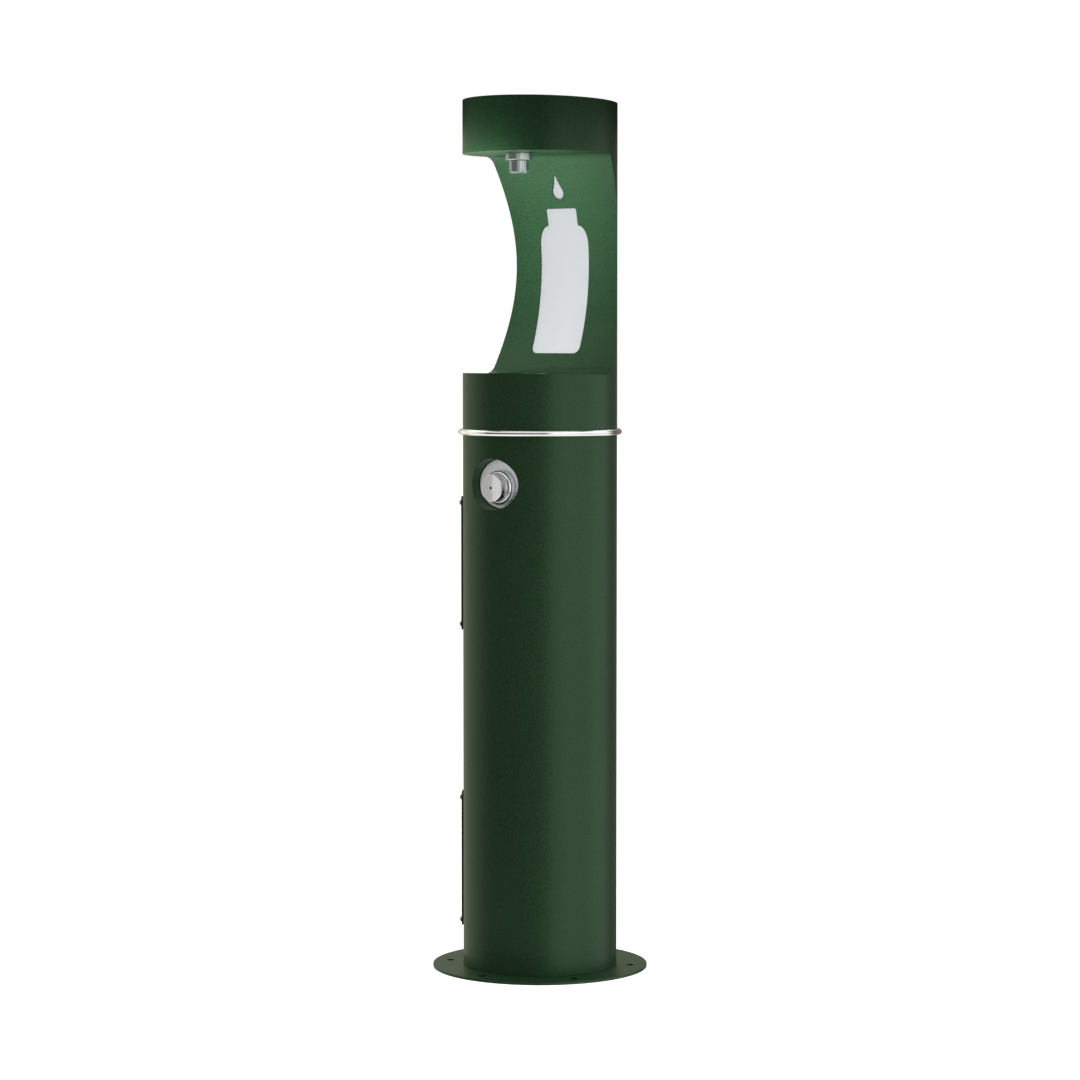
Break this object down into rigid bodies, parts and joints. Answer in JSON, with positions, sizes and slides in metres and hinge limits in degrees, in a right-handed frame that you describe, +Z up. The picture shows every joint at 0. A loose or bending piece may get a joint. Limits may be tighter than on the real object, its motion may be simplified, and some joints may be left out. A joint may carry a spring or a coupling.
{
  "type": "drinking fountain",
  "caption": "Outdoor pedestal bottle filler: round painted steel column on a bolt-down flange, open alcove with spout, shelf drain, side access panels and a front push button.",
  "frame": {"origin": "centre of the base flange's underside, on the ground", "axes": "+Z up along the column's axis, -Y towards the user who stands in front of the alcove, +X to that user's right; the access panels face -X"},
  "size_m": [0.4256, 0.4256, 1.7185],
  "materials": {
    "evergreen_paint": "textured dark green powder coat, semi-gloss",
    "chrome": "bright chrome plate",
    "stainless": "satin stainless steel",
    "zinc_steel": "zinc-plated steel",
    "brass": "machined low-lead brass",
    "rubber": "black EPDM",
    "black_plastic": "black moulded plastic",
    "tube_plastic": "natural polyethylene tube",
    "pipe_plastic": "white drain pipe",
    "grey_plate": "light grey satin panel",
    "grip_vinyl": "blue dipped vinyl"
  },
  "bodies": {
    "root": {"base_flange": "evergreen_paint", "pedestal_tube": "evergreen_paint", "head_tube": "evergreen_paint", "alcove_liner": "evergreen_paint", "top_cap": "evergreen_paint", "access_panel_upper": "evergreen_paint", "access_panel_lower": "evergreen_paint", "button_recess_cup": "evergreen_paint", "trim_ring": "chrome", "escutcheon_disc": "chrome", "button_collar": "chrome", "spout_flange": "chrome", "spout_nozzle": "chrome", "return_spring": "stainless", "drain_strainer": "stainless", "joint_sleeve": "zinc_steel", "inlet_nipple": "zinc_steel", "tapped_strip_upper_top": "zinc_steel", "tapped_strip_upper_bottom": "zinc_steel", "tapped_strip_lower_top": "zinc_steel", "tapped_strip_lower_bottom": "zinc_steel", "panel_screw_upper_1": "zinc_steel", "panel_screw_upper_2": "zinc_steel", "panel_screw_upper_3": "zinc_steel", "panel_screw_upper_4": "zinc_steel", "panel_screw_lower_1": "zinc_steel", "panel_screw_lower_2": "zinc_steel", "panel_screw_lower_3": "zinc_steel", "panel_screw_lower_4": "zinc_steel", "valve_mounting_nut": "brass", "push_valve_body": "brass", "valve_inlet_nut": "brass", "spout_locknut": "brass", "spout_elbow": "brass", "drain_locknut": "brass", "stop_valve_body": "brass", "stop_outlet_nut": "brass", "line_strainer": "brass", "panel_gasket_upper": "rubber", "panel_gasket_lower": "rubber", "drain_gasket": "rubber", "flow_regulator": "black_plastic", "laminar_insert": "black_plastic", "drain_slip_nut": "black_plastic", "upper_supply_tube": "tube_plastic", "lower_supply_tube": "tube_plastic", "valve_supply_tube": "tube_plastic", "drain_pipe": "pipe_plastic", "graphic_backing": "grey_plate"},
    "button": {"push_button": "chrome", "button_stem": "stainless"},
    "stop_lever": {"stop_valve_lever": "zinc_steel", "stop_valve_stem": "stainless", "stop_lever_grip": "grip_vinyl", "stop_lever_nut": "zinc_steel"}
  },
  "joints": [
    {"name": "push_button_slide", "type": "slide", "parent": "root", "child": "button", "axis": [0, 1, 0], "range_m": [0, 0.006], "stiffness_N_per_m": 800, "springref_m": -0.01, "deforming": ["return_spring"]},
    {"name": "stop_lever_turn", "type": "hinge", "parent": "root", "child": "stop_lever", "pos_m": [-0.06, 0, 0.178], "axis": [-1, 0, 0], "range_deg": [0, 90]}
  ]
}
